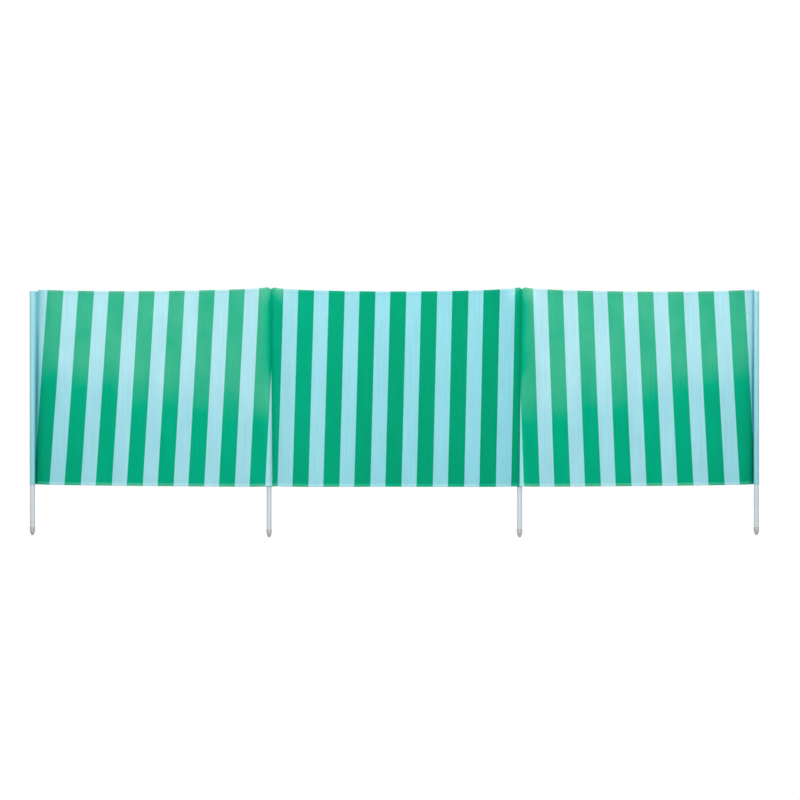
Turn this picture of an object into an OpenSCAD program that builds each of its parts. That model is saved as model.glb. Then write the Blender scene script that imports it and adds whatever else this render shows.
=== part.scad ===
// Beach windbreak: three bays of one striped cloth, carried on four ground poles.
// The origin is on the blunt end of the left end pole's ground tip. +X runs along
// the line of the two end poles, +Z is up, and the sleeves of the middle poles
// stand behind the cloth, on its +Y side.

/* [Layout] */
// Left and right bays, from pole axis to pole axis
outer_bay_w = 975; // [600:1:1500]
// Middle bay, from pole axis to pole axis
middle_bay_w = 1002; // [600:1:1500]
// How far the middle poles stand in front of the line of the end poles
set_forward = 85; // [0:1:300]

/* [Poles] */
// Pole with its ground tip, from end to end
pole_l = 990; // [825:5:1400]
// Outer diameter of the tube
tube_d = 19; // [14:0.5:30]
// Wall of the tube
tube_wall = 0.8; // [0.5:0.1:2]

/* [Ground tips] */
// Step from the tube's side out to the side of the collar it stands on
collar_step = 0.75; // [0:0.05:3]
// Height of the collar
collar_h = 15; // [6:0.5:30]
// Chamfer round the collar's upper edge
collar_lip = 0.6; // [0:0.1:2]
// Pointed stretch below the collar
point_h = 19; // [10:1:60]
// Blunt face at the very end
point_d = 7; // [2:0.5:10]
// How far the pointed stretch swells beyond a straight cone
point_swell = 1; // [0:0.1:3]
// Spigot that is pressed into the tube
spigot_l = 32; // [10:1:60]

/* [Cloth] */
// Cloth from its lower edge to its upper edge
cloth_h = 792; // [400:1:925]
// Cloth of the bays
cloth_t = 3; // [1:0.5:6]
// Sag of both edges in the middle of a bay
sag = 8; // [0:1:40]
// Bow of the left and right bays, away from their straight line
outer_bow = 45; // [0:1:120]
// Bow of the middle bay, away from its straight line
middle_bow = 65; // [0:1:120]
// Height of the upper and lower hems
hem_h = 12; // [6:1:40]
// Hems, which are a folded edge
hem_t = 4.5; // [1:0.5:9]

/* [Sleeves] */
// Cloth of the sleeves
sleeve_t = 1.2; // [0.6:0.1:3]
// Room round the pole inside its sleeve
sleeve_fit = 0.3; // [0.2:0.1:3]
// Sewn closure over the top of each pole
closure_h = 2; // [1:0.5:10]
// How far the upper edge of the bays stands above the closed sleeves
corner_rise = 6; // [0:0.5:20]
// Seam that joins an end sleeve to its bay
seam_w = 14; // [6:1:40]
// Tuck where a middle sleeve meets the two bays
tuck_w = 6; // [3:0.5:12]
// Depth of the valley in front of a middle sleeve's tuck
valley_d = 1; // [0:0.25:1]

/* [Hidden] */
$fn = 64;

tip_h = collar_h + point_h;
tube_r = tube_d / 2;
collar_r = tube_r + collar_step;
spigot_play = 0.1;
bore_r = tube_r + sleeve_fit;
sleeve_r = bore_r + sleeve_t;
sleeve_top = pole_l + closure_h;
cloth_top = sleeve_top + corner_rise;
cloth_bottom = cloth_top - cloth_h;
outer_step = sqrt(outer_bay_w * outer_bay_w - set_forward * set_forward);
steps = 24;
point_steps = 6;
overcut = 1;

// Pole axes in plan, from left to right
POLES = [
    [0, 0],
    [outer_step, -set_forward],
    [outer_step + middle_bay_w, -set_forward],
    [2 * outer_step + middle_bay_w, 0]
];
LEFT_END = 0;
LEFT_MIDDLE = 1;
RIGHT_MIDDLE = 2;
RIGHT_END = 3;
CLOTH_BLUE = [0.66, 0.88, 0.93];
CLOTH_GREEN = [0.1, 0.66, 0.5];
POLE_WHITE = [0.82, 0.86, 0.88];
TIP_GREY = [0.78, 0.8, 0.79];

// The cloth passes in front of a middle pole, and meets the side of an end pole
front_y = -sleeve_r - hem_t / 2;
function leaves(pole, side) =
    pole == LEFT_END || pole == RIGHT_END
        ? POLES[pole] + [side * (sleeve_r + seam_w), 0]
        : POLES[pole] + [side * tuck_w / 2, front_y];

// Plan of a bay's middle surface, t from 0 to 1 from its left pole
function hump(t) = 4 * t * (1 - t);
function bay_start(bay) = leaves(bay, 1);
function bay_end(bay) = leaves(bay + 1, -1);
function bow(bay) = bay == 1 ? middle_bow : outer_bow;
function plan(bay, t) =
    bay_start(bay) + t * (bay_end(bay) - bay_start(bay)) + [0, bow(bay) * hump(t)];

// A stretch of bay between two heights that both follow the sag
module strip(bay, low, high, thick) {
    T = [for (i = [0:steps]) i / steps];
    front = [for (t = T) plan(bay, t) - [0, thick / 2]];
    back = [for (i = [steps:-1:0]) plan(bay, T[i]) + [0, thick / 2]];
    lower = [for (t = T) [plan(bay, t)[0], low - sag * hump(t)]];
    upper = [for (i = [steps:-1:0]) [plan(bay, T[i])[0], high - sag * hump(T[i])]];
    reach = set_forward + max(outer_bow, middle_bow) + tube_d;
    intersection() {
        linear_extrude(height = cloth_top + overcut)
            polygon(concat(front, back));
        translate([0, reach, 0])
            rotate([90, 0, 0])
            linear_extrude(height = 2 * reach)
            polygon(concat(lower, upper));
    }
}

module bay(i) {
    color(CLOTH_GREEN)
        strip(i, cloth_bottom + hem_h, cloth_top - hem_h, cloth_t);
}

module top_hem(i) {
    color(CLOTH_BLUE) strip(i, cloth_top - hem_h, cloth_top, hem_t);
}

module bottom_hem(i) {
    color(CLOTH_BLUE) strip(i, cloth_bottom, cloth_bottom + hem_h, hem_t);
}

// Tube, standing on the collar of its ground tip
module pole(i) {
    color(POLE_WHITE)
        translate([POLES[i][0], POLES[i][1], tip_h])
        difference() {
            cylinder(h = pole_l - tip_h, r = tube_r);
            translate([0, 0, -overcut])
                cylinder(h = pole_l - tip_h - tube_wall + overcut, r = tube_r - tube_wall);
        }
}

// Moulded ground tip: blunt point, collar and the spigot in the tube
module tip(i) {
    spigot_r = tube_r - tube_wall - spigot_play;
    point = [for (j = [0:point_steps]) let (t = j / point_steps)
        [point_d / 2 + t * (collar_r - point_d / 2) + point_swell * hump(t), t * point_h]];
    color(TIP_GREY)
        translate([POLES[i][0], POLES[i][1], 0])
        rotate_extrude()
        polygon(concat([[0, 0]], point, [
            [collar_r, tip_h - collar_lip], [collar_r - collar_lip, tip_h],
            [spigot_r, tip_h], [spigot_r, tip_h + spigot_l], [0, tip_h + spigot_l]
        ]));
}

// Round rod on a pole's axis, from one height to another
module on_pole(i, r, low, high) {
    translate([POLES[i][0], POLES[i][1], low])
        cylinder(h = high - low, r = r);
}

// Room for the pole, up to the closure over its top
module pocket(i) {
    on_pole(i, bore_r, cloth_bottom - overcut, pole_l);
}

module end_sleeve(i) {
    color(CLOTH_BLUE)
        difference() {
            on_pole(i, sleeve_r, cloth_bottom, sleeve_top);
            pocket(i);
        }
}

module middle_sleeve(i) {
    tuck_y = front_y - cloth_t / 2 + valley_d;
    color(CLOTH_BLUE)
        difference() {
            union() {
                on_pole(i, sleeve_r, cloth_bottom, sleeve_top);
                translate([POLES[i][0] - tuck_w / 2, POLES[i][1] + tuck_y, cloth_bottom])
                    cube([tuck_w, -tuck_y, sleeve_top - cloth_bottom]);
            }
            pocket(i);
        }
}

// Doubled seam between an end sleeve and its bay, hollowed to the sleeve's side
module seam(i, side) {
    color(CLOTH_BLUE)
        difference() {
            translate([POLES[i][0] + (side < 0 ? -sleeve_r - seam_w : 0),
                       POLES[i][1] - hem_t / 2, cloth_bottom])
                cube([sleeve_r + seam_w, hem_t, cloth_h]);
            on_pole(i, sleeve_r, cloth_bottom - overcut, cloth_top + overcut);
        }
}

pole(LEFT_END);  // pole_left_end
pole(LEFT_MIDDLE);  // pole_left_middle
pole(RIGHT_MIDDLE);  // pole_right_middle
pole(RIGHT_END);  // pole_right_end
tip(LEFT_END);  // tip_left_end
tip(LEFT_MIDDLE);  // tip_left_middle
tip(RIGHT_MIDDLE);  // tip_right_middle
tip(RIGHT_END);  // tip_right_end
end_sleeve(LEFT_END);  // sleeve_left_end
middle_sleeve(LEFT_MIDDLE);  // sleeve_left_middle
middle_sleeve(RIGHT_MIDDLE);  // sleeve_right_middle
end_sleeve(RIGHT_END);  // sleeve_right_end
seam(LEFT_END, 1);  // seam_left_end
seam(RIGHT_END, -1);  // seam_right_end
bay(0);  // bay_left
bay(1);  // bay_middle
bay(2);  // bay_right
top_hem(0);  // top_hem_left
top_hem(1);  // top_hem_middle
top_hem(2);  // top_hem_right
bottom_hem(0);  // bottom_hem_left
bottom_hem(1);  // bottom_hem_middle
bottom_hem(2);  // bottom_hem_right
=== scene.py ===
"""Beach windbreak: striped cloth, sleeves, stitching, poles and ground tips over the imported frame.

All lengths are metres. The frame has +X along the row of poles, +Y to the back and +Z up,
with the origin on the blunt end of the left end pole's ground tip. Poles are numbered 0 to 3
and bays 0 to 2, from left to right. On a bay, across is the share of the way from its left
seam to its right one, and share that from the cloth's foot to its head.
"""

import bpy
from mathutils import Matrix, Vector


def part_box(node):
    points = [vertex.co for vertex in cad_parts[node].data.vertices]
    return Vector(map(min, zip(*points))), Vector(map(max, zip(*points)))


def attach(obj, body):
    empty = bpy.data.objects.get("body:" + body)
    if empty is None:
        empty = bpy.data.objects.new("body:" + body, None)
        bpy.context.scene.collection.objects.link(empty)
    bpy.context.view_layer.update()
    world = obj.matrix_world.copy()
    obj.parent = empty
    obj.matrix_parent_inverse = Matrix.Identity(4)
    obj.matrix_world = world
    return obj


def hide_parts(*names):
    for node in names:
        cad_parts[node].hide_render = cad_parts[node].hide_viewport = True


bl_info = {
    "name": "Beach windbreak",
    "version": (1, 0, 0),
    "blender": (4, 2, 0),
    "location": "3D View > Sidebar > Windbreak",
    "description": "Dresses a four-pole windbreak in striped cloth and sets it up for a picture",
    "category": "Object",
}

import bpy
import numpy as np
from bpy.props import FloatProperty, FloatVectorProperty, IntProperty, PointerProperty
from mathutils import Vector

BODY = "root"
POLES = ("left_end", "left_middle", "right_middle", "right_end")
BAYS = ("left", "middle", "right")
MIDDLE_POLES = (1, 2)
END_BAYS = {0: 0, 3: 2}  # the bay beside each end pole
TURN = 2 * np.pi

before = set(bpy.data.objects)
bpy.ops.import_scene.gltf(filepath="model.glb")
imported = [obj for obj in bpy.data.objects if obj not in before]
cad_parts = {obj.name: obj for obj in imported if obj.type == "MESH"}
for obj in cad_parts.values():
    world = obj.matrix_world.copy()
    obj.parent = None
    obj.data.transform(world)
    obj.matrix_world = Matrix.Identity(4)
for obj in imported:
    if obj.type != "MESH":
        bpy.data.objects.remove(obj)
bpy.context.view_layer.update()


# ---------------------------------------------------------------- settings


def length(name, description, default, low=0.0, high=1.0):
    """Length that a user may set: one, or one for each bay or pole."""
    given = {"name": name, "description": description, "default": default, "unit": "LENGTH"}
    if isinstance(default, tuple):
        return FloatVectorProperty(size=len(default), **given)
    return FloatProperty(min=low, max=high, **given)


def colour(name, description, default):
    """Colour that a user may set."""
    return FloatVectorProperty(
        name=name, description=description, size=3, default=default, min=0, max=1, subtype="COLOR")


def power(name, description, default):
    """Power of a light that a user may set."""
    return FloatProperty(name=name, description=description, default=default, min=0, unit="POWER")


class WindbreakCloth(bpy.types.PropertyGroup):
    """Shape of the bays, hems and sleeves."""

    gauge: length("Cloth gauge", "Thickness of one layer of cloth", 0.0005, 0.0001, 0.003)
    bow: length("Bow", "How far each bay bellies to the back", (0.045, 0.065, 0.045))
    sag_above: length("Sag above", "Dip of each bay's upper edge", (0.0065, 0.0105, 0.0085))
    sag_below: length("Sag below", "Dip of each bay's lower edge", (0.0070, 0.0075, 0.0070))
    seam_foot: length(
        "Seam foot", "Lower end of each pole's seam, from the pole's axis along X",
        (0.0070, 0.0137, -0.0015, -0.0080))
    seam_head: length(
        "Seam head", "Upper end of each pole's seam, from the pole's axis along X",
        (0.0202, 0.0080, 0.0080, -0.0062))
    wrap_radius: length(
        "Wrap radius", "Radius at which a bay lies over a middle sleeve", 0.0116, 0.005)
    front_gap: length(
        "Front gap", "From a middle pole's axis to the bays in front of it", 0.0160, 0.005)
    valley_width: length("Valley width", "Reach of the valley beside a seam", 0.0110, 0.001, 0.05)
    bulge: length(
        "Bulge", "How far an outer bay rolls forward beside a middle seam", 0.0075, 0, 0.02)
    recess: length(
        "Recess", "How far back the seam beside an end sleeve lies, at its foot", 0.0120, 0, 0.03)
    shoulder: length("Shoulder", "Rise of the upper edge beside a middle seam", 0.0015, 0, 0.01)
    notch: length(
        "Notch", "Depth of the notch that a middle seam pulls into the upper edge", 0.0060, 0, 0.02)
    lean_back: length(
        "Lean back", "How far the upper edge rolls back beside a middle seam", 0.0050, 0, 0.02)
    hem_height: length("Hem height", "Height of the folded hems", 0.012, 0.004, 0.04)
    hem_gauge: length("Hem gauge", "Thickness of a folded hem", 0.0018, 0.0005, 0.005)
    sleeve_radius: length(
        "Sleeve radius", "Outer radius of a sleeve drawn tight on its pole", 0.0102, 0.005)
    sleeve_slack: length(
        "Sleeve slack", "Extra radius of an end sleeve at its head", 0.0005, 0, 0.01)
    sleeve_drop: length(
        "Sleeve drop", "How far the middle sleeves reach below the hems", 0.0040, 0, 0.02)
    weave: length("Weave", "From one thread of the weave to the next", 0.00055, 0.0001, 0.005)
    columns: IntProperty(
        name="Columns", description="Points along a bay", default=230, min=60, max=400)
    rows: IntProperty(name="Rows", description="Points up a bay", default=112, min=40, max=200)


class WindbreakStripes(bpy.types.PropertyGroup):
    """Where the stripes lie, measured along the cloth of each bay from its left seam."""

    pitch: length("Pitch", "From one green stripe to the next", (0.1273, 0.1253, 0.1271))
    green_share: FloatProperty(
        name="Green share", description="Part of the pitch that is green",
        default=0.521, min=0, max=1)
    first: length(
        "First stripe", "Left edge of the first green stripe at mid height",
        (0.0014, -0.0240, 0.0039))
    lean: length(
        "Lean", "Shift of a stripe from the lower to the upper edge, at the left of a bay",
        (0.0580, 0.0247, -0.0276))
    lean_change: length(
        "Lean change", "Change of that shift towards the right of a bay",
        (-0.0171, -0.0090, -0.0188))
    ease: length(
        "Ease", "How far the stripes near both ends are pushed to the right",
        (0.0054, 0.0047, -0.0049))


class WindbreakSewing(bpy.types.PropertyGroup):
    """Threads of the seams and hems."""

    thread: length("Thread", "Thickness of the sewing thread", 0.00045, 0.0001, 0.002)
    stitch: length("Stitch", "Length of one stitch, gap included", 0.0036, 0.001, 0.01)
    tack_height: length(
        "Tack height", "Height of the bar tacks beside the end sleeves", 0.907, 0.2, 1.0)
    tack_length: length("Tack length", "Length of a bar tack", 0.028, 0.005, 0.05)
    tack_place: length(
        "Tack place", "From an end pole's seam to the middle of its bar tack", 0.0310, 0, 0.1)


class WindbreakTips(bpy.types.PropertyGroup):
    """Moulded ground tips."""

    blunt_radius: length("Blunt radius", "Radius of the blunt end", 0.0035)
    point_height: length("Point height", "Height of the tapered point", 0.019)
    collar_radius: length("Collar radius", "Radius of the collar", 0.01025)
    collar_height: length("Collar height", "Height of the collar", 0.015)
    swell: length("Swell", "How far the point swells beyond a straight cone", 0.001)
    spigot_radius: length("Spigot radius", "Radius of the spigot in the tube", 0.0086)
    spigot_height: length("Spigot height", "Height of the spigot in the tube", 0.032)


class WindbreakColours(bpy.types.PropertyGroup):
    """Colours of the cloth, thread, poles and tips."""

    # The paler tone laid over the green and blue below is a painted sheen, and their darker parts are
    # painted shade.
    green: colour("Green", "Green stripes, before they fade", (0.0, 0.365, 0.185))
    blue: colour("Blue", "Blue stripes and sleeves, before they fade", (0.310, 0.715, 0.805))
    thread: colour("Thread", "Sewing thread", (0.13, 0.46, 0.46))
    pole: colour("Pole", "Coating of the tubes", (0.72, 0.79, 0.84))
    tip: colour("Tip", "Plastic of the ground tips", (0.56, 0.60, 0.58))
    sand: colour("Sand", "Sand that clings near the ground", (0.60, 0.52, 0.38))


class WindbreakStage(bpy.types.PropertyGroup):
    """Camera and lights."""

    camera_place: FloatVectorProperty(
        name="Camera place", description="Where the camera stands",
        size=3, default=(1.495, -5.085, 0.549), subtype="TRANSLATION")
    lens: FloatProperty(
        name="Lens", description="Focal length in millimetres", default=56.25, min=10)
    front_power: power("Front light", "Power of the front light", 115.0)
    side_power: power("Side lights", "Power of each side light", 22.0)
    top_power: power("Top light", "Power of the top light", 42.0)
    back_power: power("Back light", "Power of the light behind the cloth", 110.0)
    sky: FloatProperty(
        name="Sky", description="Strength of the even white surround", default=0.22, min=0)


SETTINGS = (
    WindbreakCloth, WindbreakStripes, WindbreakSewing, WindbreakTips, WindbreakColours,
    WindbreakStage,
)


# ---------------------------------------------------------------- meshes


def swept(rings, uv, joined=False, **values):
    """Closed skin over a row of closed rings.

    rings (n, m, 3) holds n points round each of m rings, n even. The ends are closed by
    strips across the ring, or joined to each other. uv is (n + 1, m, 2), or (n + 1, m + 1, 2)
    when joined, and each named value is (n, m).
    """
    n, m = rings.shape[:2]
    a, b = np.meshgrid(np.arange(n), np.arange(m if joined else m - 1), indexing="ij")
    a2, b2 = (a + 1) % n, (b + 1) % m
    faces = np.stack([a * m + b, a2 * m + b, a2 * m + b2, a * m + b2], -1).reshape(-1, 4)
    corners = np.stack([uv[a, b], uv[a + 1, b], uv[a + 1, b + 1], uv[a, b + 1]], 2).reshape(-1, 4, 2)
    if not joined:
        half = np.arange(n // 2 - 1)
        strip = np.stack([half, half + 1, n - 2 - half, n - 1 - half], -1)
        for column, order in ((0, slice(None, None, -1)), (m - 1, slice(None))):
            ends = strip[:, order]
            faces = np.concatenate([faces, ends * m + column])
            corners = np.concatenate([corners, uv[ends, column]])
    points = rings.reshape(-1, 3)
    tri = points[faces[:, [0, 1, 2, 0, 2, 3]]].reshape(-1, 3, 3)
    if np.einsum("ij,ij->", tri[:, 0], np.cross(tri[:, 1], tri[:, 2])) < 0:
        faces, corners = faces[:, ::-1], corners[:, ::-1]
    return {
        "points": points, "faces": faces, "uv": corners,
        "values": {key: np.broadcast_to(value, (n, m)).reshape(-1) for key, value in values.items()},
    }


def joined_parts(parts):
    """One part from several that carry no values, with their faces renumbered."""
    starts = np.cumsum([0] + [len(p["points"]) for p in parts])
    return {
        "points": np.concatenate([p["points"] for p in parts]),
        "faces": np.concatenate([p["faces"] + s for p, s in zip(parts, starts)]),
        "uv": np.concatenate([p["uv"] for p in parts]), "values": {},
    }


def add_piece(name, part, material, slot, *replaced):
    """Object from a part, smooth shaded, riding on the frame in place of the replaced nodes."""
    mesh = bpy.data.meshes.new(name)
    mesh.from_pydata(part["points"], [], part["faces"])
    mesh.uv_layers.new(name="Cloth").data.foreach_set("uv", part["uv"].reshape(-1).astype(np.float32))
    for key, value in part["values"].items():
        mesh.attributes.new(key, "FLOAT", "POINT").data.foreach_set("value", value.astype(np.float32))
    mesh.polygons.foreach_set("use_smooth", np.ones(len(mesh.polygons), dtype=bool))
    mesh.materials.append(bpy.data.materials[material])
    mesh.update()
    if mesh.validate():
        raise RuntimeError(name + ": the mesh had faults")
    piece = bpy.data.objects.new(name, mesh)
    bpy.context.scene.collection.objects.link(piece)
    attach(piece, BODY)
    if replaced:
        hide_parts(*replaced)
    return piece


def crowded(count, span, reach, strength):
    """Shares from 0 to 1 of a span that stand closer together near both ends.

    The spacing shrinks as 1 / (1 + strength * exp(-distance to the nearer end / reach)).
    """
    fine = np.linspace(0, 1, 8 * count)
    density = 1 + strength * np.exp(-np.minimum(fine, 1 - fine) * span / reach)
    total = np.concatenate([[0], np.cumsum((density[1:] + density[:-1]) / 2)])
    return np.interp(np.linspace(0, total[-1], count), total, fine)


def bell(x, width):
    """Round bump of height 1 that has fallen to 1/e at width."""
    return np.exp(-((x / width) ** 2))


def hump(t):
    """Parabola that is 0 at t = 0 and t = 1, and 1 half way."""
    return 4 * t * (1 - t)


def soft_step(x, low, high):
    """0 below low, 1 above high, and smooth between them."""
    share = np.clip((x - low) / (high - low), 0, 1)
    return share * share * (3 - 2 * share)


# ---------------------------------------------------------------- layout


def centre(node):
    """Middle of a frame node in plan."""
    low, high = (np.array(corner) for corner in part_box(node))
    return (low[:2] + high[:2]) / 2


AXES = np.array([centre("pole_" + place) for place in POLES])
BAY_ENDS = [tuple(corner[0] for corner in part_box("bay_" + bay)) for bay in BAYS]
BAY_RUNS = [right - left for left, right in BAY_ENDS]
FOOT, SLEEVE_TOP = (corner[2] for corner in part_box("sleeve_left_end"))
HEAD = max(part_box("top_hem_" + bay)[1][2] for bay in BAYS)
RISE = HEAD - FOOT


def bay_line(cloth, bay, x):
    """Y of a bay's middle surface in plan, a shallow parabola between its two ends.

    With t the share of the way from the left end to the right end, it is the straight
    line between them plus bow * 4 t (1 - t), to the back.
    """
    left, right = BAY_ENDS[bay]
    start, end = (
        AXES[pole, 1] - (cloth.front_gap if pole in MIDDLE_POLES else 0) for pole in (bay, bay + 1))
    t = (x - left) / (right - left)
    return start + t * (end - start) + cloth.bow[bay] * hump(t)


def seam_place(cloth, pole, share):
    """X and Y of a pole's seam at a share of the cloth's height.

    A middle seam lies on the round front of its sleeve. An end seam lies behind its pole's
    axis, and a little less far at its head.
    """
    least_depth, head_part, fall = 0.004, 0.85, 1.5
    offset = cloth.seam_foot[pole] + share * (cloth.seam_head[pole] - cloth.seam_foot[pole])
    if pole in MIDDLE_POLES:
        depth = -np.sqrt(np.maximum(cloth.wrap_radius**2 - offset**2, least_depth**2))
    else:
        depth = cloth.recess * (head_part + (1 - head_part) * np.clip(1 - share, 0, 1) ** fall)
    return AXES[pole, 0] + offset, AXES[pole, 1] + depth


def folds(bay, x, share, left, right):
    """Small relief of the taut cloth, to the front.

    Seven slanting waves run through the whole bay. Four more on each side fade away from
    the seam, and three fade away from each edge. The middle bay has two soft upright
    folds over its lower half.
    """
    wave, seam_wave, seam_reach, edge_wave, edge_reach = 0.00035, 0.00030, 0.035, 0.00018, 0.018
    rng = np.random.default_rng(40 + bay)
    relief = np.zeros_like(x)
    for _ in range(7):
        along, up, turn = rng.uniform(3, 11), rng.uniform(-4, 4), rng.uniform(0, TURN)
        relief += wave * np.sin(along * x / BAY_RUNS[bay] * TURN + up * share * np.pi + turn)
    for distance in (left, right):
        for _ in range(4):
            count, turn, slant = rng.uniform(9, 26), rng.uniform(0, TURN), rng.uniform(-25, 25)
            phase = count * share * TURN + slant * distance / 0.1 + turn
            relief += seam_wave * np.exp(-distance / seam_reach) * np.sin(phase)
    for edge in (share, 1 - share):
        for _ in range(3):
            period, turn = rng.uniform(0.014, 0.034), rng.uniform(0, TURN)
            relief += edge_wave * np.exp(-edge * RISE / edge_reach) * np.sin(TURN * x / period + turn)
    if bay == 1:
        lean, width, head = 0.02, 0.016, 0.55
        for place, size in ((1.600, 0.0022), (1.722, 0.0028)):
            upright = bell(x - place - lean * (share - 0.3), width)
            relief += size * upright * soft_step(head - share, 0, 0.3)
    return relief


def over_sleeve(cloth, pole, x, y):
    """Y kept in front of a middle sleeve's round front, with a soft change from one to the other.

    It is the smooth least of both, -blend * log(exp(-y / blend) + exp(-front / blend)).
    """
    blend, steep = 0.0006, 50
    from_axis = x - AXES[pole, 0]
    front = AXES[pole, 1] - np.sqrt(np.maximum(cloth.wrap_radius**2 - from_axis**2, 0))
    front = front + steep * np.maximum(np.abs(from_axis) - cloth.wrap_radius, 0)
    return -blend * np.logaddexp(-y / blend, -front / blend)


def bay_surface(cloth, bay, across, share):
    """Points of a bay's middle surface.

    The bowed line is drawn to each seam by exp(-(distance / width)^1.25). Beside a middle
    seam the cloth rolls forward by bulge * n exp(1 - n), with n the distance over roll, and
    its upper edge leans back. Both edges sag by a mix of a parabola and
    (1 - exp(-left / reach)) (1 - exp(-right / reach)), and a middle seam notches them.
    """
    roll, lean_height, shoulder_at, shoulder_width, notch_width = 0.022, 0.028, 0.015, 0.012, 0.0065
    sag_reach = [0.055 if pole in MIDDLE_POLES else 0.150 for pole in (bay, bay + 1)]
    middle_bulge, foot_bulge, parabola, valley_power = 0.75, 0.60, 0.4, 1.25
    left_x, left_y = seam_place(cloth, bay, share)
    right_x, right_y = seam_place(cloth, bay + 1, share)
    x = left_x + across * (right_x - left_x)
    left, right = x - left_x, right_x - x
    y = bay_line(cloth, bay, x)
    seams = ((bay, left_x, left_y, left), (bay + 1, right_x, right_y, right))
    for pole, seam_x, seam_y, distance in seams:
        widened = 1.0 if pole in MIDDLE_POLES else 1.1 + 0.7 * np.clip(1 - share, 0, 1)
        valley = np.exp(-((np.abs(distance) / (cloth.valley_width * widened)) ** valley_power))
        y = y + (seam_y - bay_line(cloth, bay, seam_x)) * valley
    middle_seams = [(p, d) for p, d in ((bay, left), (bay + 1, right)) if p in MIDDLE_POLES]
    for pole, distance in middle_seams:
        bulge = cloth.bulge * (middle_bulge if bay == 1 else 1)
        near = np.maximum(distance, 0) / roll
        y = y - bulge * (foot_bulge + (1 - foot_bulge) * share) * near * np.exp(1 - near)
        lean = bell((1 - share) * RISE, lean_height) * bell(distance - roll, roll)
        y = y + cloth.lean_back * lean * soft_step(distance, 0, 0.012)
        y = over_sleeve(cloth, pole, x, y)
    y = y - folds(bay, x, share, left, right) * soft_step(np.minimum(left, right), 0.0005, 0.006)
    box = (1 - np.exp(-left / sag_reach[0])) * (1 - np.exp(-right / sag_reach[1]))
    dip = parabola * hump(np.clip(across, 0, 1)) + (1 - parabola) * box
    top, bottom = HEAD - cloth.sag_above[bay] * dip, FOOT - cloth.sag_below[bay] * dip
    for _, distance in middle_seams:
        notch = cloth.notch * bell(distance, notch_width)
        top = top + cloth.shoulder * bell(distance - shoulder_at, shoulder_width) - notch
        bottom = bottom - 0.5 * notch
    return np.stack(np.broadcast_arrays(x, y, bottom + share * (top - bottom)), -1)


def bay_normal(cloth, bay, across, share):
    """Unit normals of a bay's middle surface, to the front, from small steps along and up it."""
    step = 2e-4
    right, left = (bay_surface(cloth, bay, across + move, share) for move in (step, -step))
    above, below = (bay_surface(cloth, bay, across, share + move) for move in (step, -step))
    normal = np.cross(right - left, above - below)
    return normal / np.linalg.norm(normal, axis=-1, keepdims=True)


def length_along(cloth, bay, x):
    """Length of cloth from a bay's left end to x, along its plan curve."""
    left, right = BAY_ENDS[bay]
    line = np.linspace(left - 0.03, right + 0.03, 2000)
    steps = np.hypot(np.diff(line), np.diff(bay_line(cloth, bay, line)))
    run = np.concatenate([[0], np.cumsum(steps)])
    return np.interp(x, line, run) - np.interp(left, line, run)


def stripe_place(cloth, stripes, bay, points):
    """Stripe number at points on a bay, and their length along it.

    The number is whole at the left edge of each green stripe. A stripe that starts at s at
    mid height is found at s + lean(s) * h + ease * (2 s / L - 1)^2 at height h, -0.5 to 0.5,
    with L the bay's length; two rounds undo that.
    """
    along = length_along(cloth, bay, points[..., 0])
    full = length_along(cloth, bay, BAY_ENDS[bay][1])
    height = (points[..., 2] - (FOOT + HEAD) / 2) / RISE
    base = along
    for _ in range(2):
        lean = stripes.lean[bay] + stripes.lean_change[bay] * base / full
        base = along - lean * height - stripes.ease[bay] * (2 * base / full - 1) ** 2
    return (base - stripes.first[bay]) / stripes.pitch[bay], along


def fading(bay, across, share):
    """Painted sheen and shade on a bay, standing in for how the lights fall: 0 for the middle bay's
    own colour, up to about 1.

    The upper part of an outer bay carries a painted sheen, down to a soft edge that slants from above
    mid height at the end pole to below it at the middle pole, and its colour stays deeper in the
    painted shade of the valley beside the middle pole. The lower part of an outer bay has a weaker
    sheen, with painted shade at its foot by the end pole.
    The middle bay has a painted sheen at its left end and a little painted shade towards its foot.
    Each bay has a painted highlight where its top corners fold over into a middle seam.
    """
    left, right = across * BAY_RUNS[bay], (1 - across) * BAY_RUNS[bay]
    from_top = (1 - share) * RISE
    if bay == 1:
        # Middle bay: painted sheen at the left end and at the folded top corners, a little painted
        # shade towards the foot.
        at_left, at_foot, folded_over = 0.45, -0.10, 1.5
        faded = at_left * (1 - soft_step(across, 0.0, 0.45)) + at_foot * (1 - share)
        for distance in (left, right):
            faded = faded + folded_over * np.exp(-from_top / 0.030) * bell(distance - 0.034, 0.028)
        return faded
    # Outer bays: painted sheen above, painted shade at the foot by the end pole and in the valley by
    # the middle pole.
    lower_part, shaded_outer_foot, folded_over, in_shade = 0.50, 0.35, 0.6, 0.9
    outer_edge, slant, soft = 0.577, 0.20, 0.14
    out, near = (across, right) if bay == 0 else (1 - across, left)
    lower = lower_part - shaded_outer_foot * (1 - soft_step(out, 0.0, 0.45)) * (1 - share)
    faded = lower + (1 - lower) * soft_step(share - outer_edge + slant * out, -soft, soft)
    corner = np.exp(-from_top / 0.060) * bell(near - 0.038, 0.026)
    upper_half = soft_step(from_top, 0.0, 0.08) * (1 - soft_step(from_top, 0.30, 0.42))
    valley = np.exp(-near / 0.018) * upper_half
    return np.maximum(faded + folded_over * corner - in_shade * valley, 0)


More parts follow.
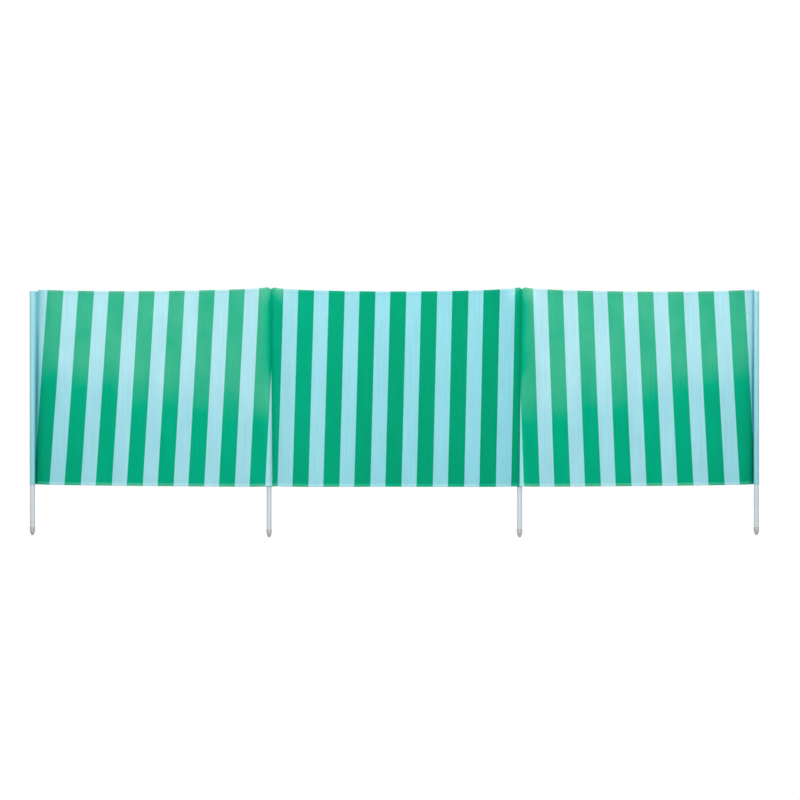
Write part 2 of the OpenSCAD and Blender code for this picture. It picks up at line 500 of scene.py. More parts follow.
def settled(bay, across, share):
    """Painted shade in the folds near the seams: 1 at most, in the fold beside a sleeve.

    Each term is its amount times exp(-distance from the seam / reach). It is strongest at
    the foot of the end seams, and the middle bay also darkens widely towards its middle seams.
    """
    foot = 1 - share
    dirt = 0.0
    for pole, distance in ((bay, across * BAY_RUNS[bay]), (bay + 1, (1 - across) * BAY_RUNS[bay])):
        if pole in MIDDLE_POLES:
            terms = [(0.12, 0.006), (0.20 if bay == 1 else 0.0, 0.10)]
        else:
            terms = [
                (0.40 + 0.50 * foot, 0.008 - 0.003 * foot), (0.22, 0.045),
                (0.42 * soft_step(foot, 0.15, 0.5), 0.020),
            ]
        for amount, reach in terms:
            dirt = dirt + amount * np.exp(-distance / reach)
    return np.clip(dirt, 0, 1)


def laid_on(context, bay, across, share):
    """Points on a bay, their normals, their length along it, and the values that colour the cloth."""
    cloth, stripes = context.scene.windbreak_cloth, context.scene.windbreak_stripes
    points, normal = bay_surface(cloth, bay, across, share), bay_normal(cloth, bay, across, share)
    number, along = stripe_place(cloth, stripes, bay, points)
    faded, dirt = fading(bay, across, share), settled(bay, across, share)
    return points, normal, along, {"stripe": number, "faded": faded, "dirt": dirt}


# ---------------------------------------------------------------- materials


class Wiring:
    """Short calls for the nodes of one tree. An input is a value or another node's output."""

    def __init__(self, tree):
        self.tree = tree

    def feed(self, sockets, inputs):
        """Set or link inputs on a node's sockets."""
        for key, value in inputs.items():
            if isinstance(value, bpy.types.NodeSocket):
                self.tree.links.new(value, sockets[key])
            else:
                sockets[key].default_value = value

    def add(self, kind, inputs, **settings):
        """Outputs of a new node."""
        item = self.tree.nodes.new("ShaderNode" + kind)
        for name, value in settings.items():
            setattr(item, name, value)
        self.feed(item.inputs, inputs)
        return item.outputs

    def math(self, operation, a, b=0.0, c=0.0):
        """One sum on numbers."""
        return self.add("Math", {0: a, 1: b, 2: c}, operation=operation)[0]

    def times(self, a, b):
        """Product of two numbers."""
        return self.math("MULTIPLY", a, b)

    def spread(self, value, gain, base):
        """A number times gain, plus base."""
        return self.math("MULTIPLY_ADD", value, gain, base)

    def vector(self, operation, a, b):
        """One sum on colours."""
        return self.add("VectorMath", {0: a, 1: b}, operation=operation)[0]

    def scaled(self, tint, factor):
        """Colour times a number."""
        return self.add("VectorMath", {0: tint, "Scale": factor}, operation="SCALE")[0]

    def mix(self, factor, a, b, kind="MIX"):
        """Colour a with colour b over it."""
        return self.add("Mix", {0: factor, 6: a, 7: b}, data_type="RGBA", blend_type=kind)[2]

    def ramp(self, value, low, high, start=0.0, end=1.0, kind="LINEAR"):
        """Start at low, end at high and held beyond them."""
        inputs = {0: value, 1: low, 2: high, 3: start, 4: end}
        return self.add("MapRange", inputs, interpolation_type=kind)[0]

    def stretched(self, place, scale):
        """Coordinates scaled along each axis."""
        return self.add("Mapping", {"Vector": place, "Scale": scale})[0]

    def noise(self, place, scale, detail, **more):
        """Cloudy noise, 0 to 1."""
        inputs = {"Vector": place, "Scale": scale, "Detail": detail, **more}
        return self.add("TexNoise", inputs)["Fac"]

    def relief(self, height, strength, distance, **below):
        """Normal over a small relief."""
        inputs = {"Strength": strength, "Distance": distance, "Height": height, **below}
        return self.add("Bump", inputs)[0]

    def group(self, tree, inputs):
        """Outputs of a shared effect."""
        item = self.tree.nodes.new("ShaderNodeGroup")
        item.node_tree = tree
        self.feed(item.inputs, inputs)
        return item.outputs


def new_group(name, inputs, outputs):
    """Empty shader node group with its sockets. Inputs are (name, type, default)."""
    tree = bpy.data.node_groups.new(name, "ShaderNodeTree")
    for label, kind, default in inputs:
        socket = tree.interface.new_socket(label, in_out="INPUT", socket_type="NodeSocket" + kind)
        if default is not None:
            socket.default_value = default
    for label, kind in outputs:
        tree.interface.new_socket(label, in_out="OUTPUT", socket_type="NodeSocket" + kind)
    given, out = tree.nodes.new("NodeGroupInput"), tree.nodes.new("NodeGroupOutput")
    return Wiring(tree), given.outputs, out.inputs


def weave_group():
    """Plain weave: warp and weft threads that pass over each other in turn, in metres.

    The crown of a thread is |sin(pi x / thread)|. Which of the two lies on top follows the
    sign of cos(pi x / thread) cos(pi y / thread), softened.
    """
    wire, given, out = new_group(
        "Plain weave",
        [("Coordinates", "Vector", None), ("Thread", "Float", 0.00055)],
        [("Height", "Float"), ("Weave shade", "Float")],
    )
    parts = wire.add("SeparateXYZ", {0: given["Coordinates"]})
    turns = [wire.times(wire.math("DIVIDE", parts[i], given["Thread"]), np.pi) for i in (0, 1)]
    crowns = [wire.math("ABSOLUTE", wire.math("SINE", turn)) for turn in turns]
    over = wire.times(*(wire.math("COSINE", turn) for turn in turns))
    pick = wire.ramp(over, -0.25, 0.25, kind="SMOOTHSTEP")
    height = wire.add("Mix", {0: pick, 2: crowns[0], 3: crowns[1]}, data_type="FLOAT")[0]
    # The second output is lighter on the thread crowns and darker in the hollows between them:
    # painted shade.
    wire.feed(out, {"Height": height, "Weave shade": wire.spread(height, 0.10, 0.935)})
    return wire.tree


def dye_and_light_group():
    """Green and light blue stripes with a slightly uneven edge, with a painted sheen and painted
    shade over them.

    The dye is streaky along the stripes and cloudy. A painted sheen adds a pale tone to each
    colour, and painted shade in the folds near the seams darkens it.
    """
    wire, given, out = new_group(
        "Striped dye and painted light",
        [
            ("Stripe", "Float", 0.75), ("Green share", "Float", 0.52), ("Painted light", "Float", 0.0),
            ("Crease shade", "Float", 0.0), ("Weave shade", "Float", 1.0), ("Coordinates", "Vector", None),
            ("Green", "Color", (0.0, 0.5, 0.25, 1)), ("Blue", "Color", (0.4, 0.8, 0.9, 1)),
            ("Sheen green", "Color", (0.110, 0.120, 0.095, 1)),
            ("Sheen blue", "Color", (0.140, 0.095, 0.080, 1)),
            ("Crease shade tint", "Color", (0.05, 0.40, 0.42, 1)),
        ],
        [("Colour", "Color")],
    )
    place = given["Coordinates"]
    ragged = wire.spread(wire.noise(place, 900.0, 2.0), 0.008, -0.004)
    number = wire.math("ADD", given["Stripe"], ragged)
    middle, soft = wire.times(given["Green share"], 0.5), 0.003
    shifted = wire.math("ADD", wire.math("SUBTRACT", number, middle), 0.5)
    away = wire.math("ABSOLUTE", wire.math("SUBTRACT", wire.math("FRACT", shifted), 0.5))
    inside, outside = (wire.math(side, middle, soft) for side in ("SUBTRACT", "ADD"))
    mask = wire.ramp(away, inside, outside, 1.0, 0.0, "SMOOTHSTEP")
    streak = wire.noise(wire.stretched(place, (150.0, 4.0, 1.0)), 1.0, 4.0)
    cloud = wire.noise(wire.stretched(place, (9.0, 6.0, 1.0)), 1.0, 5.0)
    # The weave's painted shade between threads darkens the tone here.
    tone = wire.times(given["Weave shade"], wire.spread(streak, 0.26, 0.87))
    tone = wire.times(tone, wire.spread(cloud, 0.12, 0.94))
    dyed = wire.scaled(wire.mix(mask, given["Blue"], given["Green"]), tone)
    # Painted sheen: a patchy pale tone added over each stripe colour.
    patchy = wire.times(given["Painted light"], wire.spread(cloud, 0.8, 0.6))
    pale = wire.scaled(wire.mix(mask, given["Sheen blue"], given["Sheen green"]), patchy)
    held = wire.scaled((-0.065, 0.0, 0.0), mask)
    summed = wire.vector("ADD", wire.vector("ADD", dyed, pale), held)
    clean = wire.vector("MAXIMUM", summed, (0.0, 0.0, 0.0))
    # Painted shade in the folds near the seams, multiplied in with a tint of the cloth's own colour.
    crease_darkening = wire.times(given["Crease shade"], wire.spread(cloud, 0.5, 0.75))
    wire.feed(out, {"Colour": wire.mix(crease_darkening, clean, given["Crease shade tint"], "MULTIPLY")})
    return wire.tree


def sand_group():
    """Fine dry sand that clings near the ground, thinning out with height."""
    wire, given, out = new_group(
        "Clinging sand",
        [
            ("Position", "Vector", None), ("Colour", "Color", (0.8, 0.8, 0.8, 1)),
            ("Sand", "Color", (0.60, 0.52, 0.38, 1)),
            ("Reach", "Float", 0.08), ("Amount", "Float", 0.3),
        ],
        [("Colour", "Color"), ("Mask", "Float")],
    )
    height = wire.add("SeparateXYZ", {0: given["Position"]})[2]
    low = wire.ramp(height, 0.0, given["Reach"], 1.0, 0.0, "SMOOTHSTEP")
    grains, patches = (wire.noise(given["Position"], scale, 3.0) for scale in (900.0, 90.0))
    speckle = wire.ramp(wire.times(grains, patches), 0.22, 0.36)
    mask = wire.times(wire.times(low, speckle), given["Amount"])
    wire.feed(out, {"Colour": wire.mix(mask, given["Colour"], given["Sand"]), "Mask": mask})
    return wire.tree


def opaque(tint):
    """Colour setting with an alpha of 1."""
    return (*tint, 1)


def new_material(name, tint, specular, **constants):
    """Wiring and Principled sockets of a new material; constants are set on its own sockets."""
    material = bpy.data.materials.new(name)
    material.use_nodes = True
    material.diffuse_color = opaque(tint)
    wire, surface = Wiring(material.node_tree), material.node_tree.nodes["Principled BSDF"].inputs
    given = {key.replace("_", " "): value for key, value in constants.items()}
    wire.feed(surface, {"Base Color": opaque(tint), "Specular IOR Level": specular, **given})
    return wire, surface


def cloth_material(name, group, scene):
    """Woven polyester: weave, crinkle and uneven dye with painted sheen and shade, dull with a faint
    satin edge.
    """
    colours = scene.windbreak_colours
    wire, surface = new_material(name, colours.blue, 0.03)
    place = wire.add("UVMap", {}, uv_map="Cloth")[0]
    # Besides the stripe number, the attributes carry the painted sheen and shade and the painted
    # crease shade.
    stripe, faded, dirt = (
        wire.add("Attribute", {}, attribute_name=value)["Fac"]
        for value in ("stripe", "faded", "dirt")
    )
    weave = wire.group(group["weave"], {"Coordinates": place, "Thread": scene.windbreak_cloth.weave})
    dye = wire.group(group["dye"], {
        "Stripe": stripe, "Green share": scene.windbreak_stripes.green_share, "Painted light": faded,
        "Crease shade": dirt, "Weave shade": weave["Weave shade"], "Coordinates": place,
        "Green": opaque(colours.green), "Blue": opaque(colours.blue),
    })
    crinkle = wire.relief(wire.noise(place, 55.0, 5.0, Roughness=0.55), 0.25, 0.0012)
    wire.feed(surface, {
        "Base Color": dye["Colour"], "Roughness": wire.spread(weave["Height"], -0.10, 0.68),
        "Normal": wire.relief(weave["Height"], 0.35, 0.00012, Normal=crinkle),
    })


def thread_material(name, colours):
    """Twisted sewing thread."""
    wire, surface = new_material(name, colours.thread, 0.35, Roughness=0.5)
    place = wire.add("UVMap", {}, uv_map="Cloth")[0]
    inputs = {"Vector": place, "Scale": 900.0, "Distortion": 0.5}
    twist = wire.add("TexWave", inputs, bands_direction="DIAGONAL")["Fac"]
    shade = wire.ramp(twist, 0.0, 1.0, 0.80, 1.05)
    wire.feed(surface, {
        "Base Color": wire.scaled(tuple(colours.thread), shade),
        "Normal": wire.relief(twist, 0.6, 0.0001),
    })


def pole_material(name, group, colours):
    """White coated tube: slight orange peel, faint rubbed streaks and sand low down."""
    wire, surface = new_material(name, colours.pole, 0.45, Coat_Weight=0.25, Coat_Roughness=0.2)
    place = wire.add("TexCoord", {})["Object"]
    rubbed = wire.noise(wire.stretched(place, (700.0, 700.0, 6.0)), 1.0, 4.0)
    cloud = wire.noise(place, 28.0, 4.0)
    shade = wire.times(wire.spread(rubbed, 0.10, 0.95), wire.spread(cloud, 0.08, 0.96))
    sand = wire.group(group["sand"], {
        "Position": place, "Colour": wire.scaled(tuple(colours.pole), shade),
        "Sand": opaque(colours.sand), "Reach": 0.12, "Amount": 0.30,
    })
    rough = wire.math("ADD", wire.spread(rubbed, 0.14, 0.30), wire.times(sand["Mask"], 0.4))
    wire.feed(surface, {
        "Base Color": sand["Colour"], "Roughness": rough,
        "Normal": wire.relief(wire.noise(place, 420.0, 2.0), 0.12, 0.0003),
    })


def tip_material(name, group, colours):
    """Grey-white moulded plastic with a sparked grain, scuffed at the point."""
    wire, surface = new_material(name, colours.tip, 0.4)
    place = wire.add("TexCoord", {})["Object"]
    cloud = wire.noise(place, 120.0, 4.0)
    low = wire.ramp(wire.add("SeparateXYZ", {0: place})[2], 0.0, 0.016, 1.0, 0.0)
    scuff = wire.noise(wire.stretched(place, (500.0, 500.0, 90.0)), 1.0, 6.0)
    marks = wire.times(low, wire.ramp(scuff, 0.52, 0.62))
    shade = wire.times(wire.spread(cloud, 0.16, 0.92), wire.spread(marks, -0.22, 1.0))
    sand = wire.group(group["sand"], {
        "Position": place, "Colour": wire.scaled(tuple(colours.tip), shade),
        "Sand": opaque(colours.sand), "Reach": 0.045, "Amount": 0.55,
    })
    wire.feed(surface, {
        "Base Color": sand["Colour"], "Roughness": wire.spread(cloud, 0.2, 0.40),
        "Normal": wire.relief(wire.noise(place, 2600.0, 2.0), 0.35, 0.00012),
    })


def make_materials(context):
    """Make the windbreak's materials, once; pieces find them by their names."""
    if "Striped cloth" in bpy.data.materials:
        return
    group = {"weave": weave_group(), "dye": dye_and_light_group(), "sand": sand_group()}
    colours = context.scene.windbreak_colours
    cloth_material("Striped cloth", group, context.scene)
    cloth_material("Sleeve cloth", group, context.scene)
    thread_material("Sewing thread", colours)
    pole_material("White pole coating", group, colours)
    tip_material("Grey moulded tip", group, colours)


# ---------------------------------------------------------------- cloth

HEM_STITCH = 0.86  # share of a hem's height at which it is sewn down
HEM_PINCH = 0.33  # share of a hem's thickness that the thread pulls in
HEM_OVERHANG = 0.0003  # how far a hem reaches past the edge of its bay
BLUE_NUMBER = 0.76  # stripe number in the middle of the blue


def flat_ring(a, thickness):
    """Shares a and half thicknesses of a flat folded strip, down its front and up its back.

    At a share a of its width the half thickness is thickness / 2 * (1 - |2a - 1|^6)^(1/2).
    """
    half = np.sqrt(1 - np.abs(2 * a - 1) ** 6) * thickness / 2
    return np.concatenate([a, a[::-1]]), np.concatenate([half, -half[::-1]])


def closed(uv):
    """Flat coordinates with the first point of each ring repeated at its end."""
    return np.concatenate([uv, uv[:1]])


def doubled(grid):
    """Values of a sheet's front, then of its back from head to foot."""
    return np.concatenate([grid, grid[::-1]])


def cloth_sheet(context, bay):
    """Closed skin of one bay: the middle surface moved out by half the gauge along its normals.

    Its rings run up the front and down the back.
    """
    cloth = context.scene.windbreak_cloth
    across = crowded(cloth.columns, BAY_RUNS[bay], 0.022, 7)
    share = 0.003 + 0.994 * crowded(cloth.rows, RISE, 0.020, 3)
    share, across = np.meshgrid(share, across, indexing="ij")
    points, normal, along, values = laid_on(context, bay, across, share)
    half = normal * cloth.gauge / 2
    rings = np.concatenate([points + half, (points - half)[::-1]])
    uv = closed(doubled(np.stack([along, points[..., 2]], -1)))
    return swept(rings, uv, **{key: doubled(value) for key, value in values.items()})


def hem_band(context, bay, upper):
    """Folded hem over one edge of a bay: a flat ring round the edge, pinched along its stitches.

    Its thickness swells and shrinks along X by 1 + 0.16 times the product of two sines, and
    its cloth is paler than the bay's, the lower hem's by more.
    """
    cloth = context.scene.windbreak_cloth
    across = crowded(cloth.columns, BAY_RUNS[bay], 0.022, 7)
    a = np.array([0.012, 0.05, 0.12, 0.25, 0.45, 0.65, 0.76, 0.82, HEM_STITCH, 0.90, 0.95, 0.988])
    a, half = flat_ring(a, cloth.hem_gauge * (1 - HEM_PINCH * bell(a - HEM_STITCH, 0.035)))
    rise = (a * cloth.hem_height - HEM_OVERHANG) / RISE
    share, across = np.meshgrid(1 - rise if upper else rise, across, indexing="ij")
    points, normal, along, values = laid_on(context, bay, across, share)
    along_x = TURN * points[..., 0]
    pucker = 1 + 0.16 * np.sin(along_x / 0.0108) * np.sin(along_x / 0.0271 + bay)
    rings = points + normal * (half[:, None] * pucker)[..., None]
    # The hems are paler than their bay, the lower hem by more: part wear, part painted sheen on the
    # fold.
    values["faded"] = values["faded"] + (0.25 if upper else 0.75)
    uv = closed(np.stack([along, points[..., 2] + half[:, None]], -1))
    return swept(rings, uv, **values)


def from_end_pole(pole, distance):
    """Share of the way across an end pole's bay, at a distance from its seam."""
    bay = END_BAYS[pole]
    share = distance / (AXES[bay + 1, 0] - AXES[bay, 0])
    return share if pole == 0 else 1 - share


def seam_band(context, pole):
    """Doubled seam allowance behind a bay, beside an end sleeve: a slightly wavy flat ring."""
    start, width, thickness, behind, faded, dirty = 0.0008, 0.0130, 0.0011, 0.00095, 0.3, 0.5
    a, half = flat_ring(np.array([0.012, 0.06, 0.15, 0.3, 0.5, 0.7, 0.85, 0.94, 0.988]), thickness)
    across, share = from_end_pole(pole, start + a * width), np.linspace(0.004, 0.996, 150)
    across, share = np.meshgrid(across, share, indexing="ij")
    points, normal, along, values = laid_on(context, END_BAYS[pole], across, share)
    # The allowance takes part of the bay's painted sheen and shade and of its painted crease shade.
    values.update(faded=faded * values["faded"], dirt=dirty * values["dirt"])
    wavy = 0.0001 * np.sin(TURN * points[..., 2] / 0.013 + TURN * points[..., 2] / 0.047)
    rings = points + normal * (half[:, None] - behind + wavy)[..., None]
    uv = closed(np.stack([along + half[:, None], points[..., 2]], -1))
    return swept(rings, uv, **values)


def sleeve_shell(context, pole):
    """Sewn tube round a pole, closed over its top, with its wall's inside.

    In plan it is the pole's circle with two tangents to the seam: at an angle g from the
    seam the radius is R / cos(max(acos(R / S) - g, 0)), with S the seam's distance. Creases
    are sines that wind round it, and its foot has a turned-up band. The cap is rounded over
    its outer 14 percent and has a shallow dimple and nine faint pleats.
    """
    cloth, end, axis = context.scene.windbreak_cloth, pole in END_BAYS, AXES[pole]
    stations, levels, shoulder, dimple = 96, 150, 0.0014, 0.0007
    foot = FOOT - (0 if end else cloth.sleeve_drop)
    wall_z = foot + (SLEEVE_TOP - shoulder - foot) * crowded(levels, SLEEVE_TOP - FOOT, 0.015, 3)
    cap = np.array([0.985, 0.95, 0.88, 0.76, 0.6, 0.42, 0.24, 0.1, 0.02])
    rounded = 1 - np.sqrt(1 - np.clip((cap - 0.86) / 0.14, 0, 1) ** 2)
    cap_z = SLEEVE_TOP - shoulder * rounded - dimple * bell(cap, 0.4)
    shrink = np.concatenate([np.ones(levels), cap])
    z = np.concatenate([wall_z, cap_z])
    share = np.clip((z - FOOT) / RISE, 0, 1)

    # Stations round the ring start at the seam and stand closer together beside it
    lap = np.linspace(0, 1, stations, endpoint=False)
    from_seam = TURN * lap - 0.75 * np.sin(TURN * lap)
    seam_x, seam_y = seam_place(cloth, pole, share)
    seam_x, seam_y = seam_x - axis[0], seam_y - axis[1] + (0.0 if end else 0.0005)
    reach, toward = np.hypot(seam_x, seam_y) + (0.0006 if end else 0.0), np.arctan2(seam_y, seam_x)
    angle = from_seam[:, None] + toward
    turn = np.minimum(from_seam, TURN - from_seam)[:, None] + 0 * angle

    radius = cloth.sleeve_radius + (cloth.sleeve_slack * (0.2 + 0.8 * share) if end else 0.0002)
    tangent = np.arccos(np.clip(radius / np.maximum(reach, radius + 0.0002), -1, 1))
    wall = radius / np.cos(np.maximum(tangent - turn, 0))
    creases = 0.5 + 0.25 * np.sin(TURN * z / 0.047 + 2 * angle + pole)
    creases = creases + 0.25 * np.sin(TURN * z / 0.0205 - 3 * angle + 2.1 * pole)
    wall = wall + creases * (0.0002 + 0.0004 * share**2) * soft_step(turn, 0.1, 0.5)
    band = soft_step(foot + 0.0115 - z, 0, 0.0012) * (1 - 0.5 * bell(z - foot - 0.0098, 0.0008))
    pleats = 0.0003 * np.cos(9 * angle) * hump(shrink)

    def in_and_out(outer, inner):
        """Rings of the wall's outside, then those of its inside back down."""
        return np.concatenate([outer, inner[:, ::-1]], axis=1)

    radii = in_and_out((wall + 0.0005 * band) * shrink, (wall - cloth.gauge) * shrink)
    heights = in_and_out(z + pleats, z - cloth.gauge * (shrink < 1) + pleats)
    angles, turns = in_and_out(angle, angle), in_and_out(turn, turn)
    x, y = axis[0] + radii * np.cos(angles), axis[1] + radii * np.sin(angles)
    rings = np.stack([x, y, heights], -1)
    around = np.append(from_seam, TURN)[:, None] * cloth.sleeve_radius
    up = z + (1 - shrink) * 0.01
    uv = np.stack(np.broadcast_arrays(around, np.concatenate([up, up[::-1], z[:1]])), -1)
    # Painted shade in the crease beside an end sleeve's seam, strongest at its foot; on every sleeve
    # painted light, paler at the head and darker at the foot.
    foot_share = 1 - doubled(share)
    dirt = (0.50 + 0.35 * foot_share) * bell(turns, 0.70 + 0.25 * foot_share) if end else 0.0
    faded = 0.60 - 0.75 * foot_share
    return swept(rings, uv, joined=True, stripe=BLUE_NUMBER, faded=faded, dirt=dirt)


def stitches(points, along, normal, thread, span):
    """Row of short arched threads: one closed skin for each stitch.

    Each is a six-sided tube along four rings, thinner and lower at its two ends.
    """
    share = np.array([0.0, 0.30, 0.70, 1.0])
    lift = np.array([-0.9, 0.55, 0.55, -0.9]) * thread / 2
    girth = np.array([0.55, 1.0, 1.0, 0.55]) * thread / 2
    turn = np.arange(6) * np.pi / 3
    side = np.cross(along, normal)
    spine = points[:, None] + along[:, None] * ((share - 0.5) * span)[:, None]
    spine = spine + normal[:, None] * lift[:, None]
    outward = np.cos(turn)[:, None] * side[:, None] + np.sin(turn)[:, None] * normal[:, None]
    rings = spine[:, None] + girth[:, None] * outward[:, :, None]
    count, n, m = rings.shape[:3]
    uv = np.stack(np.broadcast_arrays(np.arange(n + 1)[:, None] * thread / 2, share[None] * span), -1)
    first = swept(rings[0], uv)
    shift = np.arange(count)[:, None, None] * n * m
    return {
        "points": rings.reshape(-1, 3), "faces": (first["faces"][None] + shift).reshape(-1, 4),
        "uv": np.tile(first["uv"], (count, 1, 1)), "values": {},
    }


def stitched_line(context, bay, across, share, out, upward=False):
    """Stitches along a line on a bay, to its front by out, or to its back if out is negative."""
    cloth, sewing = context.scene.windbreak_cloth, context.scene.windbreak_sewing
    across, share = np.broadcast_arrays(across, share)
    points = bay_surface(cloth, bay, across, share)
    normal = bay_normal(cloth, bay, across, share)
    step, seen = 5e-4, 0.86
    ahead = (across, share + step) if upward else (across + step, share)
    along = bay_surface(cloth, bay, *ahead) - points
    along = along / np.linalg.norm(along, axis=-1, keepdims=True)
    facing = normal * np.sign(out)
    return stitches(points + normal * out, along, facing, sewing.thread, sewing.stitch * seen)


class WINDBREAK_OT_bays(bpy.types.Operator):
    """Stretch the striped cloth of the three bays between the poles"""

    bl_idname = "windbreak.bays"
    bl_label = "Bays"

    def execute(self, context):
        make_materials(context)
        for bay, name in enumerate(BAYS):
            sheet = cloth_sheet(context, bay)
            add_piece("cloth_" + name, sheet, "Striped cloth", "striped_cloth", "bay_" + name)
        return {"FINISHED"}


class WINDBREAK_OT_hems(bpy.types.Operator):
    """Fold a hem over the upper and lower edge of each bay"""

    bl_idname = "windbreak.hems"
    bl_label = "Hems"

    def execute(self, context):
        make_materials(context)
        for bay, name in enumerate(BAYS):
            for edge in ("top", "bottom"):
                hem = hem_band(context, bay, edge == "top")
                node = f"{edge}_hem_{name}"
                add_piece(f"{edge}_fold_{name}", hem, "Striped cloth", "hem_cloth", node)
        return {"FINISHED"}


class WINDBREAK_OT_sleeves(bpy.types.Operator):
    """Sew a closed sleeve round each pole, and double the cloth beside the end sleeves"""

    bl_idname = "windbreak.sleeves"
    bl_label = "Sleeves"

    def execute(self, context):
        make_materials(context)
        for pole, place in enumerate(POLES):
            shell = sleeve_shell(context, pole)
            node = "sleeve_" + place
            tube = add_piece("tube_" + place, shell, "Sleeve cloth", "sleeve_cloth", node)
            if pole in END_BAYS:
                band = seam_band(context, pole)
                node = "seam_" + place
                add_piece("allowance_" + place, band, "Striped cloth", "sleeve_cloth", node)
        return {"FINISHED"}


def hem_threads(context, bay):
    """Stitch lines of both hems of a bay, on both sides of the cloth."""
    cloth, sewing = context.scene.windbreak_cloth, context.scene.windbreak_sewing
    run, clear = BAY_RUNS[bay], 0.005
    count = int(run / sewing.stitch)
    across = (np.arange(count) + 0.5) / count
    across = across[(across * run > clear) & ((1 - across) * run > clear)]
    line = (HEM_STITCH * cloth.hem_height - HEM_OVERHANG) / RISE
    out = (1 - HEM_PINCH) * cloth.hem_gauge / 2 + 0.00005
    return joined_parts([
        stitched_line(context, bay, across, share, side * out)
        for share in (line, 1 - line) for side in (1, -1)
    ])


def seam_threads(context, pole):
    """Stitch lines beside an end sleeve, one in front and two behind, and the bar tack in front."""
    sewing, bay = context.scene.windbreak_sewing, END_BAYS[pole]
    count = int(RISE / sewing.stitch)
    share = 0.02 + 0.96 * (np.arange(count) + 0.5) / count
    near, far, front, back, tack_front = 0.0022, 0.0108, 0.00030, -0.00150, 0.00035
    rows = [
        stitched_line(context, bay, from_end_pole(pole, distance), share, out, upward=True)
        for distance, out in ((near, front), (near, back), (far, back))
    ]
    bar = np.arange(-9, 10)
    zigzag = 0.0006 * np.where(bar % 2, 1, -1)
    height = (sewing.tack_height - FOOT + zigzag) / RISE
    across = from_end_pole(pole, sewing.tack_place + bar / 9 * sewing.tack_length / 2)
    rows.append(stitched_line(context, bay, across, height, tack_front, upward=True))
    return joined_parts(rows)


class WINDBREAK_OT_stitching(bpy.types.Operator):
    """Run the stitch lines along the hems and seams, and set the bar tacks"""

    bl_idname = "windbreak.stitching"
    bl_label = "Stitching"

    def execute(self, context):
        make_materials(context)
        for bay, name in enumerate(BAYS):
            threads = hem_threads(context, bay)
            add_piece("hem_threads_" + name, threads, "Sewing thread", "hem_cloth")
        for pole in END_BAYS:
            threads = seam_threads(context, pole)
            add_piece("seam_threads_" + POLES[pole], threads, "Sewing thread", "sleeve_cloth")
        return {"FINISHED"}


class WINDBREAK_OT_declare(bpy.types.Operator):
    """Gather for each bay the names of the pieces sewn to it; the list is not used"""

    bl_idname = "windbreak.declare"
    bl_label = "Declare cloth"

    def execute(self, context):
        for bay, name in enumerate(BAYS):
            sewn = ["top_fold_" + name, "bottom_fold_" + name, "hem_threads_" + name]
            for place in (POLES[pole] for pole, beside in END_BAYS.items() if beside == bay):
                sewn += ["allowance_" + place, "seam_threads_" + place]
        return {"FINISHED"}


# ---------------------------------------------------------------- poles and tips


class WINDBREAK_OT_poles(bpy.types.Operator):
    """Finish the four tubes in their white coating"""

    bl_idname = "windbreak.poles"
    bl_label = "Poles"

    def execute(self, context):
        make_materials(context)
        for place in POLES:
            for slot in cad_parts["pole_" + place].material_slots:
                slot.material = bpy.data.materials["White pole coating"]
        return {"FINISHED"}


def tip_solid(context, axis):
    """Turned solid of a ground tip: blunt end, swelling point, collar and spigot.

    The profile is a row of radii and heights from the blunt end up, with each corner cut to
    a short round. Its point has a radius of blunt + t (edge - blunt) + swell * 4 t (1 - t) at
    a share t of its height. A parting line stands slightly proud on two sides of the mould.
    """
    tips, around, parting = context.scene.windbreak_tips, 96, 0.00010
    blunt, edge, spigot = tips.blunt_radius, tips.collar_radius, tips.spigot_radius
    hip = tips.point_height
    top = hip + tips.collar_height
    end = top + tips.spigot_height
    t = np.linspace(0, 1, 15)[1:-1]
    profile = [
        (0.60 * blunt, 0.0), (0.86 * blunt, 0.00003), (0.96 * blunt, 0.00025),
        (1.02 * blunt + 0.0002, 0.0007),
    ]
    profile += zip(blunt + t * (edge - blunt) + tips.swell * hump(t), t * hip)
    profile += [
        (edge - 0.00030, hip - 0.0005), (edge - 0.00036, hip), (edge - 0.00010, hip + 0.0004),
        (edge, hip + 0.0010), (edge + 0.00004, hip + 0.0050), (edge, top - 0.0050),
        (edge - 0.00004, top - 0.0010), (edge - 0.00020, top - 0.0005),
        (edge - 0.00055, top - 0.0001), (edge - 0.00090, top),
        (spigot + 0.0002, top), (spigot, top + 0.0003), (spigot, end - 0.0010),
        (spigot - 0.0010, end), (0.5 * spigot, end),
    ]
    radius, height = np.array(profile).T
    angle = np.linspace(0, TURN, around, endpoint=False)[:, None]
    proud = parting * bell(np.sin(angle), 0.05)
    proud = proud * soft_step(height, 0.001, 0.004) * (height < top - 0.001)
    x, y = axis[0] + (radius + proud) * np.cos(angle), axis[1] + (radius + proud) * np.sin(angle)
    rings = np.stack(np.broadcast_arrays(x, y, height), -1)
    unrolled = np.linspace(0, TURN, around + 1)[:, None] * edge
    return swept(rings, np.stack(np.broadcast_arrays(unrolled, height), -1))


class WINDBREAK_OT_tips(bpy.types.Operator):
    """Put a moulded ground tip on the foot of each pole"""

    bl_idname = "windbreak.tips"
    bl_label = "Ground tips"

    def execute(self, context):
        make_materials(context)
        for place, axis in zip(POLES, AXES):
            tip = tip_solid(context, axis)
            add_piece("point_" + place, tip, "Grey moulded tip", "tip_plastic", "tip_" + place)
        return {"FINISHED"}


# ---------------------------------------------------------------- stage


def area_light(name, place, aim, size, watts):
    """Soft rectangular light that faces its aim."""
    data = bpy.data.lights.new(name, "AREA")
    data.shape, data.size, data.size_y = "RECTANGLE", *size
    data.energy = watts
    light = bpy.data.objects.new(name, data)
    light.location = place
    light.rotation_euler = (Vector(aim) - Vector(place)).to_track_quat("-Z", "Y").to_euler()
    bpy.context.scene.collection.objects.link(light)


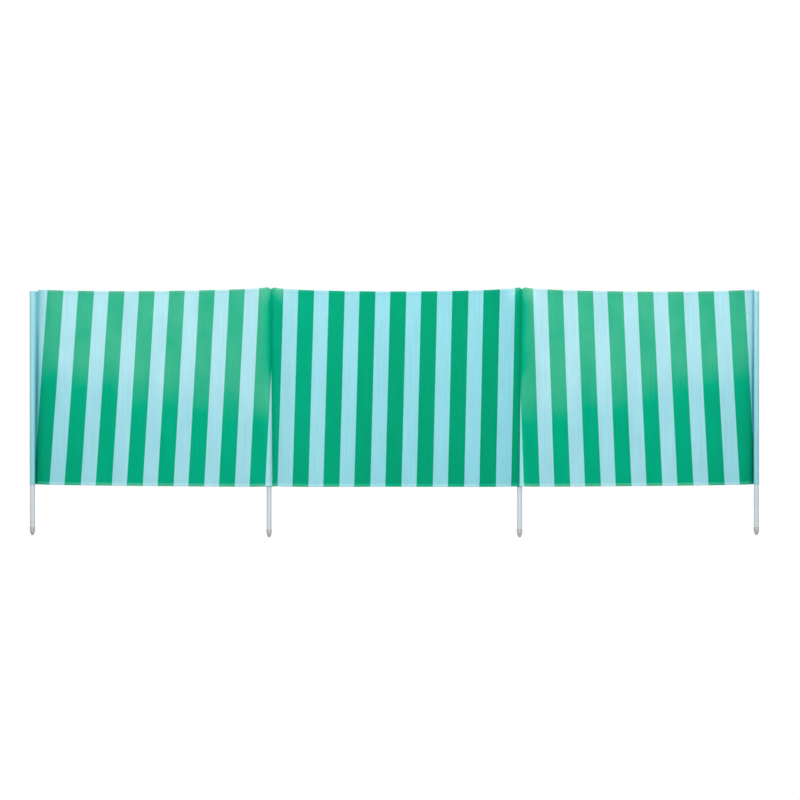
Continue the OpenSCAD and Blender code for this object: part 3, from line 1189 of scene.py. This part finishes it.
class WINDBREAK_OT_stage(bpy.types.Operator):
    """Set the camera, the soft lights and the even white surround"""

    bl_idname = "windbreak.stage"
    bl_label = "Stage"

    def execute(self, context):
        stage, scene = context.scene.windbreak_stage, context.scene
        data = bpy.data.cameras.new("Camera")
        data.lens, data.sensor_width, data.clip_end = stage.lens, 36.0, 100.0
        camera = bpy.data.objects.new("Camera", data)
        camera.location = stage.camera_place
        camera.rotation_euler = (np.pi / 2, 0, 0)
        scene.collection.objects.link(camera)
        scene.camera = camera
        middle, upper = (1.47, 0.0, 0.60), (1.47, 0.0, 0.80)
        area_light("Front light", (1.47, -4.3, 1.5), middle, (2.6, 1.4), stage.front_power)
        area_light("Left light", (-2.0, -3.0, 1.6), middle, (1.2, 2.0), stage.side_power)
        area_light("Right light", (4.94, -3.0, 1.6), middle, (1.2, 2.0), stage.side_power)
        area_light("Back light", (1.47, 4.3, 1.6), middle, (3.0, 1.4), stage.back_power)
        area_light("Top light", (1.47, -0.9, 3.2), upper, (4.5, 1.6), stage.top_power)
        scene.world = bpy.data.worlds.new("White surround")
        scene.world.use_nodes = True
        wire = Wiring(scene.world.node_tree)
        seen = wire.add("LightPath", {})["Is Camera Ray"]
        wire.feed(wire.tree.nodes["Background"].inputs, {
            "Color": (1, 1, 1, 1), "Strength": wire.ramp(seen, 0.0, 1.0, stage.sky, 1.0)})
        scene.view_settings.view_transform = "Standard"
        return {"FINISHED"}


OPERATORS = (
    WINDBREAK_OT_stage, WINDBREAK_OT_sleeves, WINDBREAK_OT_bays, WINDBREAK_OT_hems,
    WINDBREAK_OT_stitching, WINDBREAK_OT_declare, WINDBREAK_OT_poles, WINDBREAK_OT_tips,
)


class WINDBREAK_PT_panel(bpy.types.Panel):
    """Builds the windbreak piece by piece"""

    bl_label = "Windbreak"
    bl_idname = "WINDBREAK_PT_panel"
    bl_space_type = "VIEW_3D"
    bl_region_type = "UI"
    bl_category = "Windbreak"

    def draw(self, context):
        for operator in OPERATORS:
            self.layout.operator(operator.bl_idname)
        for group in SETTINGS:
            box = self.layout.box()
            box.label(text=setting_name(group).replace("_", " ").capitalize())
            for name in group.__annotations__:
                box.prop(getattr(context.scene, setting_name(group)), name)


def setting_name(group):
    """Name under which a settings group hangs on the scene."""
    return "windbreak_" + group.__name__.removeprefix("Windbreak").lower()


CLASSES = (*SETTINGS, *OPERATORS, WINDBREAK_PT_panel)


def register():
    """Register the settings, operators and panel."""
    for item in CLASSES:
        bpy.utils.register_class(item)
    for group in SETTINGS:
        setattr(bpy.types.Scene, setting_name(group), PointerProperty(type=group))


def unregister():
    """Undo register."""
    for group in SETTINGS:
        delattr(bpy.types.Scene, setting_name(group))
    for item in reversed(CLASSES):
        bpy.utils.unregister_class(item)


def main():
    """Build every piece in order."""
    register()
    bpy.ops.windbreak.stage()
    bpy.ops.windbreak.sleeves()
    bpy.ops.windbreak.bays()
    bpy.ops.windbreak.hems()
    bpy.ops.windbreak.stitching()
    bpy.ops.windbreak.declare()
    bpy.ops.windbreak.poles()
    bpy.ops.windbreak.tips()


if __name__ == "__main__":
    main()
